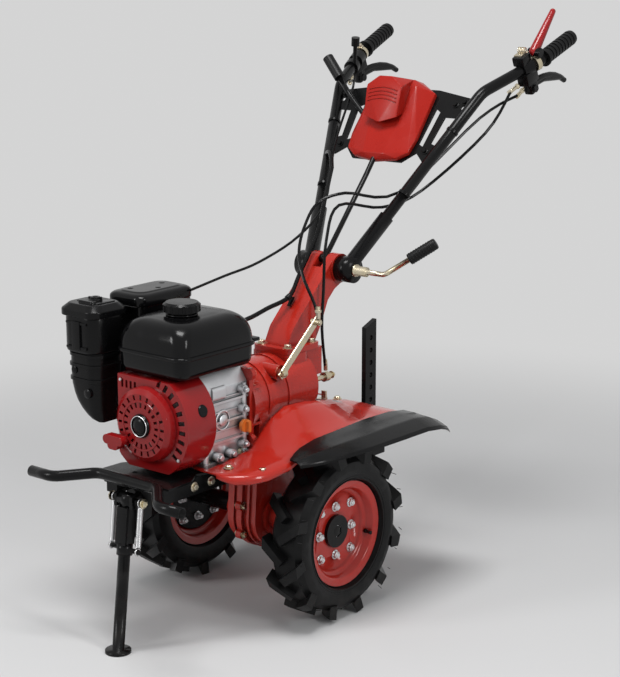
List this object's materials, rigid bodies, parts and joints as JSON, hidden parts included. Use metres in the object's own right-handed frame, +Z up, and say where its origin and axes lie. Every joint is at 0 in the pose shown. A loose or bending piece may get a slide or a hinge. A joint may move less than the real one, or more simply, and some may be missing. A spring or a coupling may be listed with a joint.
{
  "type": "power weeder",
  "caption": "Walking power weeder with an open front engine, lugged wheels on one axle, fenders, a tilting handlebar with console and levers, and a fold-up front stand.",
  "frame": {"origin": "on the floor, at the middle of the footprint", "axes": "+X to the operator's left, +Y towards the operator, +Z up"},
  "size_m": [0.6, 1.3086, 1.2649],
  "materials": {
    "red_paint": "gloss",
    "red_casting": "gloss paint",
    "red_plastic": "gloss",
    "black_paint": "satin",
    "black_plastic": "satin",
    "black_gloss": "gloss",
    "tyre_rubber": "matt",
    "grip_rubber": "matt",
    "cast_alloy": "cast",
    "steel": "machined",
    "zinc": "yellow zinc",
    "orange_plastic": "gloss"
  },
  "bodies": {
    "chassis": {"lower_case": "red_casting", "gearbox": "red_casting", "column": "red_casting", "clamp_handle": "zinc", "clutch_arm": "zinc", "reverse_arm": "zinc", "crankcase": "cast_alloy", "cylinder_head": "cast_alloy", "fan_shroud": "red_paint", "pull_starter": "red_paint", "starter_disc": "black_plastic", "starter_grip": "red_plastic", "fuel_tank": "black_gloss", "tank_cap": "black_plastic", "air_cleaner": "black_plastic", "air_cleaner_lid": "black_plastic", "muffler": "black_paint", "carburettor": "cast_alloy", "dipstick": "orange_plastic", "front_frame": "black_paint", "bumper": "black_paint", "fender_left": "red_paint", "fender_right": "red_paint", "flap_left": "black_plastic", "flap_right": "black_plastic", "hitch": "black_paint", "depth_stake": "black_paint", "stake_pin": "zinc"},
    "wheels": {"axle": "steel", "hub_left": "black_paint", "hub_right": "black_paint", "rim_left": "red_paint", "rim_right": "red_paint", "tyre_left": "tyre_rubber", "tyre_right": "tyre_rubber"},
    "handlebar": {"handlebar_left": "black_paint", "handlebar_right": "black_paint", "grip_left": "grip_rubber", "grip_right": "grip_rubber", "panel": "black_paint", "console": "red_plastic", "lever_left": "black_paint", "lever_right": "black_paint", "red_lever": "red_plastic", "throttle_lever": "black_plastic", "gear_lever": "black_paint", "gear_knob": "grip_rubber", "clutch_cable": "black_plastic", "reverse_cable": "black_plastic", "throttle_cable": "black_plastic", "loom": "black_plastic"},
    "stand": {"stand_leg": "black_paint", "stand_springs": "zinc"}
  },
  "joints": [
    {"name": "axle_spin", "type": "hinge", "parent": "chassis", "child": "wheels", "pos_m": [0, -0.1658, 0.185], "axis": [1, 0, 0], "continuous": true},
    {"name": "handlebar_tilt", "type": "hinge", "parent": "chassis", "child": "handlebar", "pos_m": [0, 0.0682, 0.702], "axis": [1, 0, 0], "range_deg": [-30, 15], "deforming": ["clutch_cable", "reverse_cable", "throttle_cable", "loom"]},
    {"name": "stand_fold", "type": "hinge", "parent": "chassis", "child": "stand", "pos_m": [0, -0.5778, 0.318], "axis": [1, 0, 0], "range_deg": [0, 85]}
  ]
}
